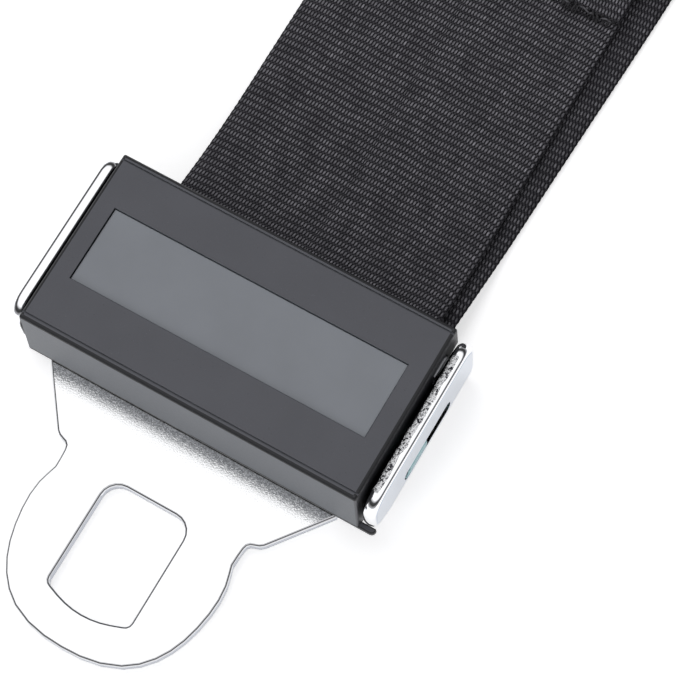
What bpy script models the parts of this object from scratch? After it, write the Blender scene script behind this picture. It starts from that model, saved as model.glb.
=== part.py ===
"""Seat belt extender: a chromed tongue and its adjuster housing, a strap, and a push-button buckle.

The tongue points to -Y, the buckle to +Y, and +Z is up. Sizes below are in millimetres; meshes are
made in metres.
"""
import math

import bpy
from mathutils import Matrix, Vector

MM = 0.001
GAP = 0.3          # between pieces that touch on the real thing
RUN = 0.1          # round a turning or sliding shaft

# stamped tongue and frame, one piece of steel
STEEL = 2.4        # sheet thickness
FLANGE_OUT = 32.25  # outer face of each upturned side
FLANGE_IN = FLANGE_OUT - STEEL
FLANGE_TOP = 13.7
FLANGE_FRONT = -0.5
FLANGE_REAR = 30.1
FLANGE_FOOT = 3.2  # where the side's outer face starts above the bend
BASE_REAR = 29.0
BEND_FRONT = 3.2
BEND_REAR = 28.9
EDGE = 0.35        # rounding of the tongue's polished edges
FLANGE_EDGE = 0.95 # and of the upturned sides'
TONGUE_REACH = 38.6
SLOT_FRONT, SLOT_REAR = 8.4, 22.2
SLOT_LOW, SLOT_HIGH = 3.9, 6.8

# cover
COVER_HALF = FLANGE_IN - GAP
COVER_FRONT = -1.1   # foot of the front wall, which leans back
COVER_LEAN = 0.65    # how far the front wall leans back, and each side wall leans in
SIDE_LEAN = 0.25
COVER_REAR = 30.0
COVER_FOOT = STEEL + GAP
COVER_TOP = 15.8
COVER_WALL = 2.0
COVER_EDGE = 0.6
COVER_CORNER = 0.3
LIP_RIGHT = 32.2   # where the foot of the front wall wraps round the right side's corner
LIP_HIGH = 0.9
RIM = 0.3          # width and depth of the fine groove round the top
LABEL_HALF = 25.76
LABEL_FRONT, LABEL_REAR = 8.5, 21.6
LABEL_SUNK = 0.4
LABEL_THICK = 0.6
LABEL_FIT = 0.1

# bar that the strap turns round, and the fixed bar it is pinched against
BAR_Y = 13.25
BAR_LONG = 6.0
BAR_HIGH = 3.2
BAR_Z = SLOT_LOW + GAP + BAR_HIGH / 2
BAR_END_LONG = 5.3
CROSS_FRONT, CROSS_REAR = 22.4, 26.4
CROSS_LOW, CROSS_HIGH = 10.4, 12.8

# strap
WEB_WIDE = 47.0
WEB_THICK = 1.2
TAIL_END = 115.0
TAIL_RAW = 91.2    # cut edge of the tail's folded hem
TAIL_X = 0.8
TAIL_PULL = 0.5    # how far the tail slides across as it nears the bar
ANCHOR_RAW = 127.0  # cut edge of the sewn loop at the buckle

# buckle
BUCKLE_X = 6.0
BUCKLE_HALF = 29.5
BUCKLE_FRONT = 140.0
BUCKLE_END = 204.0
BUCKLE_HIGH = 22.0
SHELL_WALL = 2.5
ROOF = 2.0
SPLIT = 11.0
SLOT_HALF = 18.4
MOUTH_LOW, MOUTH_HIGH = 5.2, 9.6
FRAME_LOW = 2.3
FRAME_HALF = BUCKLE_HALF - SHELL_WALL - GAP
FRAME_WALL = 2.0
FRAME_BACK = 145.6
FRAME_BASE_TOP = FRAME_LOW + STEEL
PIN_Y, PIN_Z, PIN_R = 149.5, 10.0, 3.0
PIVOT_Y, PIVOT_Z, PIVOT_R = 160.0, 10.9, 1.6
LATCH_HALF = 10.0
LATCH_REACH = 26.0
LATCH_THICK = 2.0
LATCH_LIFT = 9.2   # degrees, how far the empty buckle's latch stands up
TOOTH_LONG = 2.4
TOOTH_DEEP = 4.1
TOOTH_HALF = 6.0
BUTTON_HALF = 16.0
BUTTON_BACK = 192.0
BUTTON_LOW, BUTTON_HIGH = 11.7, 19.0
EJECT_FRONT, EJECT_BACK = 185.0, 171.0
EJECT_HALF, EJECT_HIGH = 8.0, 3.4
SPRING_X = 14.0
RIB_Y = 179.0
RIVET_X, RIVET_Y = 19.0, 168.0
TAB_Y = 154.8
TAB_THICK = 1.2
SLIDER_LOW, SLIDER_HIGH, SLIDER_HALF = 17.2, 18.1, 9.0
SLIDER_OUT, SLIDER_IN = 5.0, 4.0  # how far it stands out of the button, and into it
LATCH_SPRING_OUT, LATCH_SPRING_R = 10.0, 2.0

CENTRE_X = (BUCKLE_X + BUCKLE_HALF - FLANGE_OUT) / 2
CENTRE_Y = (BUCKLE_END - TONGUE_REACH) / 2


def clear_scene():
    for obj in list(bpy.data.objects):
        bpy.data.objects.remove(obj, do_unlink=True)


def material(name, colour, rough, metal=0.0):
    mat = bpy.data.materials.new(name)
    mat.use_nodes = True
    node = next(n for n in mat.node_tree.nodes if n.type == "BSDF_PRINCIPLED")
    node.inputs["Base Color"].default_value = (*colour, 1.0)
    node.inputs["Roughness"].default_value = rough
    node.inputs["Metallic"].default_value = metal
    return mat


def solid(name, points, faces, mat=None):
    """An object from millimetre points, moved so that the whole part stands centred on the origin."""
    mesh = bpy.data.meshes.new(name)
    place = [((x - CENTRE_X) * MM, (y - CENTRE_Y) * MM, z * MM) for x, y, z in points]
    mesh.from_pydata(place, [], faces)
    mesh.validate()
    mesh.update()
    obj = bpy.data.objects.new(name, mesh)
    bpy.context.scene.collection.objects.link(obj)
    if mat:
        mesh.materials.append(mat)
    return obj


def turn_loop(points):
    """Puts a flat loop in counter-clockwise order."""
    area = sum(a[0] * b[1] - b[0] * a[1] for a, b in zip(points, points[1:] + points[:1]))
    return points if area > 0 else points[::-1]


def offset_loop(points, out):
    """The loop moved outwards by out along its corners' mitres."""
    if not out:
        return list(points)
    moved = []
    count = len(points)
    for i, p in enumerate(points):
        a = Vector(p) - Vector(points[i - 1])
        b = Vector(points[(i + 1) % count]) - Vector(p)
        na = Vector((a.y, -a.x)).normalized()
        nb = Vector((b.y, -b.x)).normalized()
        mid = na + nb
        mid = mid / max(0.4, mid.dot(na))
        moved.append((p[0] + mid.x * out, p[1] + mid.y * out))
    return moved


def loft(name, loops, axis, mat=None):
    """Joins loops of one length, each (points, height), into a closed solid along an axis."""
    swap = {
        "Z": lambda u, v, h: (u, v, h),
        "X": lambda u, v, h: (h, u, v),
        "Y": lambda u, v, h: (v, h, u),
    }[axis]
    points = []
    for loop, height in loops:
        points += [swap(u, v, height) for u, v in loop]
    count = len(loops[0][0])
    faces = [list(range(count))[::-1]]
    for k in range(len(loops) - 1):
        low, high = k * count, (k + 1) * count
        for i in range(count):
            j = (i + 1) % count
            faces.append([low + i, low + j, high + j, high + i])
    last = (len(loops) - 1) * count
    faces.append([last + i for i in range(count)])
    return solid(name, points, faces, mat)


def slab(name, outline, low, high, axis="Z", edge=0.0, steps=2, mat=None, top_only=False):
    """A prism with its end edges rounded by edge."""
    outline = turn_loop(list(outline))
    if not edge:
        return loft(name, [(outline, low), (outline, high)], axis, mat)
    arc = [(edge * (1 - math.sin(i * math.pi / 2 / steps)), edge * (1 - math.cos(i * math.pi / 2 / steps)))
           for i in range(steps + 1)]
    loops = []
    if top_only:
        loops.append((outline, low))
    else:
        loops += [(offset_loop(outline, -inset), low + rise) for inset, rise in arc]
    loops += [(offset_loop(outline, -inset), high - rise) for inset, rise in reversed(arc)]
    return loft(name, loops, axis, mat)


def flared(name, outline, low, high, edge, steps=2):
    """A cutter whose hole comes out with both its rims rounded."""
    outline = turn_loop(list(outline))
    arc = [(edge * (1 - math.sin(i * math.pi / 2 / steps)), edge * (1 - math.cos(i * math.pi / 2 / steps)))
           for i in range(steps + 1)]
    loops = [(offset_loop(outline, edge), low - 1.0)]
    loops += [(offset_loop(outline, grow), low + rise) for grow, rise in arc]
    loops += [(offset_loop(outline, grow), high - rise) for grow, rise in reversed(arc)]
    loops += [(offset_loop(outline, edge), high + 1.0)]
    return loft(name, loops, "Z")


def round_rect(u0, v0, u1, v1, radius, steps=4):
    """A rectangle with rounded corners; radius may be one number or four, from the low corner round."""
    radii = [radius] * 4 if isinstance(radius, (int, float)) else radius
    corners = [(u0, v0, 180), (u1, v0, 270), (u1, v1, 0), (u0, v1, 90)]
    points = []
    for (u, v, start), r in zip(corners, radii):
        if r <= 0:
            points.append((u, v))
            continue
        cu = u + r if u == u0 else u - r
        cv = v + r if v == v0 else v - r
        for i in range(steps + 1):
            a = math.radians(start + 90 * i / steps)
            points.append((cu + r * math.cos(a), cv + r * math.sin(a)))
    return points


def circle(u, v, r, count=24):
    return [(u + r * math.cos(2 * math.pi * i / count), v + r * math.sin(2 * math.pi * i / count))
            for i in range(count)]


def box(name, x0, y0, z0, x1, y1, z1, mat=None):
    return slab(name, [(x0, y0), (x1, y0), (x1, y1), (x0, y1)], z0, z1, mat=mat)


def combine(target, tools, operation="DIFFERENCE"):
    for tool in tools:
        modifier = target.modifiers.new("boolean", "BOOLEAN")
        modifier.solver = "EXACT"
        modifier.operation = operation
        modifier.object = tool
        tool.hide_render = True
        tool.display_type = "WIRE"
    return target


def set_origin(obj, x, y, z):
    """Puts the object's origin on a joint's axis without moving its shape."""
    spot = Vector(((x - CENTRE_X) * MM, (y - CENTRE_Y) * MM, z * MM))
    obj.data.transform(Matrix.Translation(-spot))
    obj.location = spot


def smooth(t):
    t = min(1.0, max(0.0, t))
    return t * t * (3 - 2 * t)


def spline(knots, t):
    """A smooth curve through (t, value) knots."""
    for i in range(len(knots) - 1):
        if t <= knots[i + 1][0] or i == len(knots) - 2:
            break
    (t0, v0), (t1, v1) = knots[i], knots[i + 1]
    a = knots[max(0, i - 1)]
    b = knots[min(len(knots) - 1, i + 2)]
    m0 = (v1 - a[1]) / (t1 - a[0])
    m1 = (b[1] - v0) / (b[0] - t0)
    s = min(1.0, max(0.0, (t - t0) / (t1 - t0)))
    h = t1 - t0
    return ((2 * s**3 - 3 * s**2 + 1) * v0 + (s**3 - 2 * s**2 + s) * h * m0
            + (-2 * s**3 + 3 * s**2) * v1 + (s**3 - s**2) * h * m1)


def coil(name, start, end, radius, wire, turns, mat, sides=6, per=10):
    """A spring with its wire swept round a line from start to end."""
    start, end = Vector(start), Vector(end)
    axis = (end - start).normalized()
    side = Vector((1, 0, 0)) if abs(axis.x) < 0.9 else Vector((0, 0, 1))
    u = axis.cross(side).normalized()
    v = axis.cross(u)
    count = turns * per
    points, faces = [], []
    run = (end - start).length - 2 * wire
    for i in range(count + 1):
        a = 2 * math.pi * i / per
        ring = u * math.cos(a) + v * math.sin(a)
        centre = start + axis * (wire + run * i / count) + ring * radius
        for k in range(sides):
            b = 2 * math.pi * k / sides
            points.append(tuple(centre + ring * wire * math.cos(b) + axis * wire * math.sin(b)))
    for i in range(count):
        for k in range(sides):
            n = (k + 1) % sides
            faces.append([i * sides + k, (i + 1) * sides + k, (i + 1) * sides + n, i * sides + n])
    faces.append(list(range(sides)))
    faces.append([count * sides + k for k in range(sides)][::-1])
    obj = solid(name, points, faces, mat)
    return obj


# The ring's right half, from the cover to the tip, as read from the photograph.
TONGUE_SHOULDER = [(25.6, 1.5), (25.6, -1.1), (18.9, -9.8), (18.5, -10.3), (17.9, -10.75), (17.2, -11.0),
                   (16.6, -11.2), (16.2, -11.6), (16.05, -12.2)]
TONGUE_RING = [(15.95, -13.6), (15.9, -15.2), (16.3, -16.5), (16.8, -18.4), (17.0, -20.8), (16.85, -23.3),
               (16.4, -26.0), (15.7, -28.6), (14.7, -31.0), (13.4, -33.1), (11.7, -35.0), (9.5, -36.6),
               (6.4, -37.85), (3.2, -38.45)]
WINDOW_REAR, WINDOW_HALF = -12.7, 7.25
WINDOW_FRONT_SIDE, WINDOW_FRONT_MID = -30.2, -32.7


def tongue_outline():
    half = TONGUE_SHOULDER + TONGUE_RING
    return half + [(0.0, -TONGUE_REACH)] + [(-x, y) for x, y in reversed(half)]


def window_outline():
    points = []
    rear = 2.9
    for i in range(6):
        a = math.radians(90 - 90 * i / 5)
        points.append((WINDOW_HALF - rear + rear * math.cos(a), WINDOW_REAR - rear + rear * math.sin(a)))
    small = 1.1
    for i in range(4):
        a = math.radians(-78 * i / 3)
        points.append((WINDOW_HALF - small + small * math.cos(a), WINDOW_FRONT_SIDE + small * math.sin(a)))
    for i in range(1, 4):
        x = (WINDOW_HALF - small) * (1 - i / 4)
        low = WINDOW_FRONT_SIDE - small
        points.append((x, WINDOW_FRONT_MID + (low - WINDOW_FRONT_MID) * (x / (WINDOW_HALF - small))**2))
    return points + [(0.0, WINDOW_FRONT_MID)] + [(-x, y) for x, y in reversed(points)]


def bend_profile(side):
    """The rolled corner between the base and an upturned side, in the X-Z plane, as (z, x)."""
    centre_x, centre_z = FLANGE_OUT - FLANGE_FOOT, FLANGE_FOOT
    inner = FLANGE_FOOT - STEEL
    outer_arc, inner_arc = [], []
    for i in range(7):
        a = math.radians(-90 + 90 * i / 6)
        up, out = math.sin(a), math.cos(a)
        outer_arc.append((centre_z + FLANGE_FOOT * up, side * (centre_x + FLANGE_FOOT * out)))
        inner_arc.append((centre_z + inner * up, side * (centre_x + inner * out)))
    low = [(0.0, side * (centre_x - 2.0))]
    up = [(centre_z + 1.5, side * FLANGE_OUT), (centre_z + 1.5, side * FLANGE_IN)]
    back = [(STEEL, side * (centre_x - 2.0))]
    return low + outer_arc + up + inner_arc[::-1] + back


def make_tongue_plate():
    mat = material("chromed_steel", (0.82, 0.83, 0.85), 0.08, 1.0)
    plate = slab("tongue_plate", tongue_outline(), 0.0, STEEL, edge=EDGE, mat=mat)
    base = box("base_stamping", -(FLANGE_OUT - FLANGE_FOOT - 0.6), 0.4, 0.0,
               FLANGE_OUT - FLANGE_FOOT - 0.6, BASE_REAR, STEEL)
    parts = [base]
    for side in (-1, 1):
        inner, outer = sorted((side * FLANGE_IN, side * FLANGE_OUT))
        outline = round_rect(FLANGE_FRONT, FLANGE_FOOT - 0.4, FLANGE_REAR, FLANGE_TOP,
                             (3.3, 1.4, 3.5, 4.3), 6)
        parts.append(slab(f"flange_{side}", outline, inner, outer, axis="X", edge=FLANGE_EDGE,
                          steps=3))
        parts.append(slab(f"bend_{side}", bend_profile(side), BEND_FRONT, BEND_REAR, axis="Y"))
    combine(plate, parts, "UNION")
    holes = [flared("window_cut", window_outline(), 0.0, STEEL, EDGE)]
    slot = round_rect(SLOT_FRONT, SLOT_LOW, SLOT_REAR, SLOT_HIGH, 1.2, 3)
    holes.append(slab("slot_cut", slot, -FLANGE_OUT - 3, FLANGE_OUT + 3, axis="X"))
    combine(plate, holes)
    return plate


def make_cover():
    mat = material("cover_plastic", (0.10, 0.10, 0.11), 0.5)
    foot = round_rect(-COVER_HALF, COVER_FRONT, COVER_HALF, COVER_REAR, COVER_CORNER, 3)
    brow_half = COVER_HALF - SIDE_LEAN
    brow_front = COVER_FRONT + COVER_LEAN
    loops = [(turn_loop(foot), COVER_FOOT)]
    for i in range(4):
        a = math.pi / 2 * i / 3
        inset = COVER_EDGE * (1 - math.cos(a))
        line = round_rect(inset - brow_half, brow_front + inset, brow_half - inset, COVER_REAR - inset,
                          COVER_CORNER, 3)
        loops.append((turn_loop(line), COVER_TOP - COVER_EDGE * (1 - math.sin(a))))
    shell = loft("cover", loops, "Z", mat)
    lip_rear = COVER_FRONT + 1.1
    lip_line = round_rect(0, COVER_FRONT, LIP_RIGHT, lip_rear, (0, 0.7, 0.3, 0), 3)
    lip = slab("cover_lip", lip_line, COVER_FOOT, COVER_FOOT + LIP_HIGH, edge=0.25, steps=2, top_only=True)
    combine(shell, [lip], "UNION")
    inner = COVER_HALF - COVER_WALL
    roof = COVER_TOP - 2.1
    groove_front = brow_front + COVER_EDGE + RIM
    groove_rear = COVER_REAR - COVER_EDGE - RIM
    side = COVER_HALF + 2
    cuts = [
        box("inside", -inner, COVER_FRONT + COVER_WALL, COVER_FOOT - 1, inner, COVER_REAR - 1.6, roof),
        box("rear_mouth", -inner, COVER_REAR - 2.2, COVER_FOOT - 1.5, inner, COVER_REAR + 1, 12.6),
        box("side_notch", -side, SLOT_FRONT - 2.4, COVER_FOOT - 2, side, COVER_REAR + 2, CROSS_LOW - 0.2),
        box("bar_notch", -side, CROSS_FRONT - GAP, CROSS_LOW - 2, side, CROSS_REAR + GAP, CROSS_HIGH + GAP),
        box("label_recess", -LABEL_HALF, LABEL_FRONT, COVER_TOP - LABEL_SUNK - LABEL_THICK - GAP,
            LABEL_HALF, LABEL_REAR, COVER_TOP + 1),
        box("rear_groove", -side, groove_rear - RIM, COVER_TOP - RIM, side, groove_rear, COVER_TOP + 1),
        box("front_groove", -side, groove_front, COVER_TOP - RIM, side, groove_front + RIM, COVER_TOP + 1),
    ]
    combine(shell, cuts)
    return shell


def make_label():
    mat = material("label_insert", (0.30, 0.31, 0.33), 0.25)
    top = COVER_TOP - LABEL_SUNK
    half = LABEL_HALF - LABEL_FIT
    front, rear = LABEL_FRONT + LABEL_FIT, LABEL_REAR - LABEL_FIT
    return slab("label_insert", [(-half, front), (half, front), (half, rear), (-half, rear)],
                top - LABEL_THICK, top, edge=0.08, steps=1, mat=mat, top_only=True)


def knurled(teeth=44):
    """The bar's section with fine teeth along it, in Y and Z."""
    half, r = (BAR_LONG - BAR_HIGH) / 2, BAR_HIGH / 2
    straight, bend = 2 * half, math.pi * r
    total = 2 * straight + 2 * bend
    points = []
    for i in range(2 * teeth):
        s = total * i / (2 * teeth)
        if s < straight:
            y, z, ny, nz = -half + s, r, 0, 1
        elif s < straight + bend:
            a = math.pi / 2 - (s - straight) / r
            y, z, ny, nz = half + r * math.cos(a), r * math.sin(a), math.cos(a), math.sin(a)
        elif s < 2 * straight + bend:
            y, z, ny, nz = half - (s - straight - bend), -r, 0, -1
        else:
            a = -math.pi / 2 - (s - 2 * straight - bend) / r
            y, z, ny, nz = -half + r * math.cos(a), r * math.sin(a), math.cos(a), math.sin(a)
        deep = 0.0 if i % 2 else 0.2
        points.append((BAR_Y + y - ny * deep, BAR_Z + z - nz * deep))
    return points


def make_bars():
    zinc = material("zinc_bar", (0.38, 0.47, 0.48), 0.35, 1.0)
    inside = FLANGE_IN - GAP
    bar = slab("adjuster_bar", knurled(), -inside, inside, axis="X", mat=zinc)
    half = BAR_END_LONG / 2
    end = round_rect(BAR_Y - half, SLOT_LOW + GAP, BAR_Y + half, SLOT_HIGH - GAP, 0.6, 2)
    reach = FLANGE_OUT - 0.4
    combine(bar, [slab("bar_ends", end, -reach, reach, axis="X", edge=0.2, steps=1)], "UNION")
    steel = material("cross_steel", (0.45, 0.46, 0.48), 0.35, 1.0)
    cross = slab("cross_bar", round_rect(CROSS_FRONT, CROSS_LOW, CROSS_REAR, CROSS_HIGH, 0.5, 2),
                 -inside, inside, axis="X", mat=steel)
    return bar, cross


def tail_height(y):
    """Centre of the upper strand, from over the bar down to lying on the lower one."""
    top = BAR_Z + BAR_HIGH / 2 + GAP + WEB_THICK / 2
    rest = WEB_THICK * 1.5 + GAP
    return top + (rest - top) * smooth((y - BAR_Y) / (58.0 - BAR_Y))


def load_height(y):
    """Centre of the lower strand, over the base's rear edge and down to the floor."""
    start = BAR_Z - BAR_HIGH / 2 - GAP - WEB_THICK / 2
    over = STEEL + GAP + WEB_THICK / 2
    z = start + (over - start) * smooth((y - BAR_Y) / (29.0 - BAR_Y))
    return z + (WEB_THICK / 2 - over) * smooth((y - 34.0) / 18.0)


LOAD_X = [(BAR_Y, 1.6), (34.5, 3.2), (50.0, 3.6), (70.0, 4.4), (100.0, 5.65), (126.0, 6.0), (150.0, BUCKLE_X)]


def strap_path():
    """The strap's centre line as (x, y, z) from the hem's cut edge to the loop's cut edge at the buckle."""
    path = []
    layer = WEB_THICK + GAP
    rest = WEB_THICK * 1.5 + GAP
    for i in range(6):
        y = TAIL_RAW + (TAIL_END - TAIL_RAW) * i / 6
        path.append((TAIL_X, y, rest + layer))
    for i in range(9):
        a = math.radians(90 - 180 * i / 8)
        path.append((TAIL_X, TAIL_END + layer / 2 * math.cos(a), rest + layer / 2 + layer / 2 * math.sin(a)))
    for i in range(1, 6):
        path.append((TAIL_X, TAIL_END + (62.0 - TAIL_END) * i / 6, rest))
    front = BAR_Y - (BAR_LONG - BAR_HIGH) / 2
    count = 22
    for i in range(count):
        y = 62.0 + (front - 62.0) * i / count
        x = TAIL_X + TAIL_PULL * smooth((60.0 - y) / 25.0)
        path.append((x, y, tail_height(y)))
    wrap = BAR_HIGH / 2 + GAP + WEB_THICK / 2
    for i in range(13):
        a = math.radians(90 + 180 * i / 12)
        x = TAIL_X + TAIL_PULL + (LOAD_X[0][1] - TAIL_X - TAIL_PULL) * i / 12
        path.append((x, front + wrap * math.cos(a), BAR_Z + wrap * math.sin(a)))
    last = 129.0
    count = 40
    for i in range(1, count + 1):
        y = front + (last - front) * i / count
        path.append((spline(LOAD_X, max(y, BAR_Y)), y, load_height(y)))
    loop = PIN_R + GAP + WEB_THICK / 2
    rise = PIN_Z - loop - WEB_THICK / 2
    for i in range(1, 9):
        t = i / 8
        y = last + (PIN_Y - last) * t
        path.append((spline(LOAD_X, y), y, WEB_THICK / 2 + rise * smooth(1.3 * t)))
    for i in range(1, 13):
        a = math.radians(-90 + 180 * i / 12)
        path.append((BUCKLE_X, PIN_Y + loop * math.cos(a), PIN_Z + loop * math.sin(a)))
    top = PIN_Z + loop
    over = WEB_THICK / 2 + layer
    for i in range(1, 13):
        t = i / 12
        y = PIN_Y + (ANCHOR_RAW + 5.0 - PIN_Y) * t
        path.append((spline(LOAD_X, y), y, top + (over - top) * smooth(t)))
    for i in range(1, 3):
        y = ANCHOR_RAW + 5.0 - 5.0 * i / 2
        path.append((spline(LOAD_X, y), y, over))
    return path


def make_strap():
    mat = material("webbing_black", (0.028, 0.027, 0.033), 0.8)
    path = [Vector(p) for p in strap_path()]
    points, faces = [], []
    half, thick = WEB_WIDE / 2, WEB_THICK / 2
    section = [(-half, 0.35), (-half + 0.35, 1.0), (half - 0.35, 1.0), (half, 0.35),
               (half, -0.35), (half - 0.35, -1.0), (-half + 0.35, -1.0), (-half, -0.35)]
    for i, p in enumerate(path):
        before = path[max(0, i - 1)]
        after = path[min(len(path) - 1, i + 1)]
        along = (after - before).normalized()
        flat = Vector((0.0, along.y, along.z)).normalized()
        up = Vector((1, 0, 0)).cross(flat)
        for across, lift in section:
            points.append(tuple(p + Vector((across, 0, 0)) + up * (lift * thick)))
    size = len(section)
    for i in range(len(path) - 1):
        for k in range(size):
            n = (k + 1) % size
            faces.append([i * size + k, i * size + n, (i + 1) * size + n, (i + 1) * size + k])
    faces.append(list(range(size))[::-1])
    faces.append([(len(path) - 1) * size + k for k in range(size)])
    return solid("webbing", points, faces, mat)


def make_shells():
    mat = material("buckle_plastic", (0.035, 0.035, 0.04), 0.45)
    outline = round_rect(BUCKLE_X - BUCKLE_HALF, BUCKLE_FRONT, BUCKLE_X + BUCKLE_HALF, BUCKLE_END,
                         (6.0, 6.0, 4.0, 4.0), 5)
    inside = offset_loop(turn_loop(outline), -SHELL_WALL)
    joint = GAP / 2
    lower = slab("buckle_lower_shell", outline, 0.0, SPLIT - joint, edge=1.6, steps=3, mat=mat)
    lower_top = slab("lower_square_rim", outline, 4.0, SPLIT - joint)
    combine(lower, [lower_top], "UNION")
    web = WEB_WIDE / 2 + 1.2
    lower_cuts = [
        slab("lower_inside", inside, FRAME_LOW - GAP, SPLIT + 5),
        box("lower_mouth", BUCKLE_X - SLOT_HALF, BUCKLE_END - 6, MOUTH_LOW, BUCKLE_X + SLOT_HALF,
            BUCKLE_END + 2, MOUTH_HIGH),
        box("lower_strap_gap", BUCKLE_X - web, BUCKLE_FRONT - 2, FRAME_LOW - GAP, BUCKLE_X + web,
            BUCKLE_FRONT + 6, SPLIT + 2),
    ]
    for side in (-1, 1):
        lower_cuts.append(slab(f"rivet_hole_{side}", circle(BUCKLE_X + side * RIVET_X, RIVET_Y, 2.0 + GAP),
                               -1.0, FRAME_LOW + 1))
        lower_cuts.append(slab(f"rivet_sink_{side}", circle(BUCKLE_X + side * RIVET_X, RIVET_Y, 3.5 + GAP),
                               -1.0, 1.1 + GAP))
    combine(lower, lower_cuts)

    upper_low = SPLIT + joint
    upper = slab("buckle_upper_shell", outline, upper_low, BUCKLE_HIGH, edge=3.0, steps=4, mat=mat,
                 top_only=True)
    roof = BUCKLE_HIGH - ROOF
    upper_cuts = [
        slab("upper_inside", inside, upper_low - 3, roof),
        box("button_window", BUCKLE_X - BUTTON_HALF - GAP, BUCKLE_END - 6, upper_low - 2,
            BUCKLE_X + BUTTON_HALF + GAP, BUCKLE_END + 3, BUTTON_HIGH + GAP),
        box("upper_strap_gap", BUCKLE_X - web, BUCKLE_FRONT - 2, upper_low - 2, BUCKLE_X + web,
            BUCKLE_FRONT + 6, 15.4),
    ]
    combine(upper, upper_cuts)
    for side in (-1, 1):
        rib = box(f"spring_rib_{side}", BUCKLE_X + side * SPRING_X - 3, RIB_Y, upper_low + 1.85,
                  BUCKLE_X + side * SPRING_X + 3, RIB_Y + 2, roof + 0.5)
        combine(upper, [rib], "UNION")
    return lower, upper


def make_buckle_frame():
    mat = material("buckle_steel", (0.50, 0.51, 0.53), 0.35, 1.0)
    half = FRAME_HALF
    base = box("buckle_frame", BUCKLE_X - half, FRAME_BACK, FRAME_LOW, BUCKLE_X + half, BUCKLE_END - 5.0,
               FRAME_BASE_TOP, mat)
    walls = []
    for side in (-1, 1):
        inner, outer = sorted((BUCKLE_X + side * (half - FRAME_WALL), BUCKLE_X + side * half))
        outline = round_rect(FRAME_BACK, FRAME_LOW, RIVET_Y, PIVOT_Z + 3.7, (0, 0, 3.0, 3.0), 4)
        walls.append(slab(f"frame_side_{side}", outline, inner, outer, axis="X"))
    walls.append(box("spring_tab", BUCKLE_X - 4.0, TAB_Y, FRAME_BASE_TOP - 0.5, BUCKLE_X + 4.0,
                     TAB_Y + TAB_THICK, FRAME_BASE_TOP + 4.3))
    combine(base, walls, "UNION")
    left, right = BUCKLE_X - half - 3, BUCKLE_X + half + 3
    cuts = [
        slab("pin_holes", circle(PIN_Y, PIN_Z, PIN_R + GAP), left, right, axis="X"),
        slab("pivot_holes", circle(PIVOT_Y, PIVOT_Z, PIVOT_R + RUN), left, right, axis="X"),
    ]
    for side in (-1, 1):
        cuts.append(slab(f"frame_rivet_hole_{side}", circle(BUCKLE_X + side * RIVET_X, RIVET_Y, 2.0 + GAP),
                         FRAME_LOW - 1, FRAME_BASE_TOP + 1))
    combine(base, cuts)
    return base


def make_anchor_pin():
    mat = material("pin_steel", (0.52, 0.52, 0.54), 0.3, 1.0)
    return slab("anchor_pin", circle(PIN_Y, PIN_Z, PIN_R), BUCKLE_X - FRAME_HALF, BUCKLE_X + FRAME_HALF,
                axis="X", edge=0.4, steps=1, mat=mat)


def make_latch():
    mat = material("latch_steel", (0.55, 0.54, 0.52), 0.3, 1.0)
    low = PIVOT_Z - LATCH_THICK / 2
    front = PIVOT_Y + LATCH_REACH
    back, waist = PIVOT_Y - 2.2, PIVOT_Y + LATCH_REACH / 2
    outline = [(-LATCH_HALF, back), (LATCH_HALF, back), (LATCH_HALF, waist), (TOOTH_HALF, waist + 2.0),
               (TOOTH_HALF, front), (-TOOTH_HALF, front), (-TOOTH_HALF, waist + 2.0), (-LATCH_HALF, waist)]
    latch = slab("latch", [(BUCKLE_X + x, y) for x, y in outline], low, low + LATCH_THICK, mat=mat)
    face, root, tip = front - 0.2, low + LATCH_THICK / 2, low - TOOTH_DEEP
    profile = [(front - TOOTH_LONG, tip), (face - 0.5, tip), (face, tip + 0.9), (face, root),
               (front - TOOTH_LONG, root)]
    wide = slab("latch_tooth", profile, BUCKLE_X - TOOTH_HALF + 0.2, BUCKLE_X + TOOTH_HALF - 0.2, axis="X")
    axle = slab("latch_axle", circle(PIVOT_Y, PIVOT_Z, PIVOT_R), BUCKLE_X - FRAME_HALF, BUCKLE_X + FRAME_HALF,
                axis="X")
    combine(latch, [wide, axle], "UNION")
    turn = Matrix.Rotation(math.radians(LATCH_LIFT), 4, "X")
    for obj in (latch, wide, axle):
        set_origin(obj, BUCKLE_X, PIVOT_Y, PIVOT_Z)
        obj.data.transform(turn)
    return latch


def make_button():
    mat = material("button_plastic", (0.45, 0.02, 0.015), 0.35)
    outline = round_rect(BUCKLE_X - BUTTON_HALF, BUTTON_BACK, BUCKLE_X + BUTTON_HALF, BUCKLE_END - 0.6,
                         (0.5, 0.5, 1.2, 1.2), 3)
    button = slab("release_button", outline, BUTTON_LOW, BUTTON_HIGH, edge=0.6, steps=2, mat=mat)
    combine(button, [box("slider_seat", BUCKLE_X - SLIDER_HALF - GAP, BUTTON_BACK - 2, SLIDER_LOW - GAP,
                         BUCKLE_X + SLIDER_HALF + GAP, BUTTON_BACK + SLIDER_IN + GAP, SLIDER_HIGH + GAP)])
    steel = material("slider_steel", (0.5, 0.5, 0.52), 0.3, 1.0)
    slider = box("lock_slider", BUCKLE_X - SLIDER_HALF, BUTTON_BACK - SLIDER_OUT, SLIDER_LOW,
                 BUCKLE_X + SLIDER_HALF,
                 BUTTON_BACK + SLIDER_IN, SLIDER_HIGH, steel)
    set_origin(button, BUCKLE_X, BUTTON_BACK, BUTTON_LOW)
    set_origin(slider, BUCKLE_X, BUTTON_BACK, BUTTON_LOW)
    return button, slider


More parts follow.
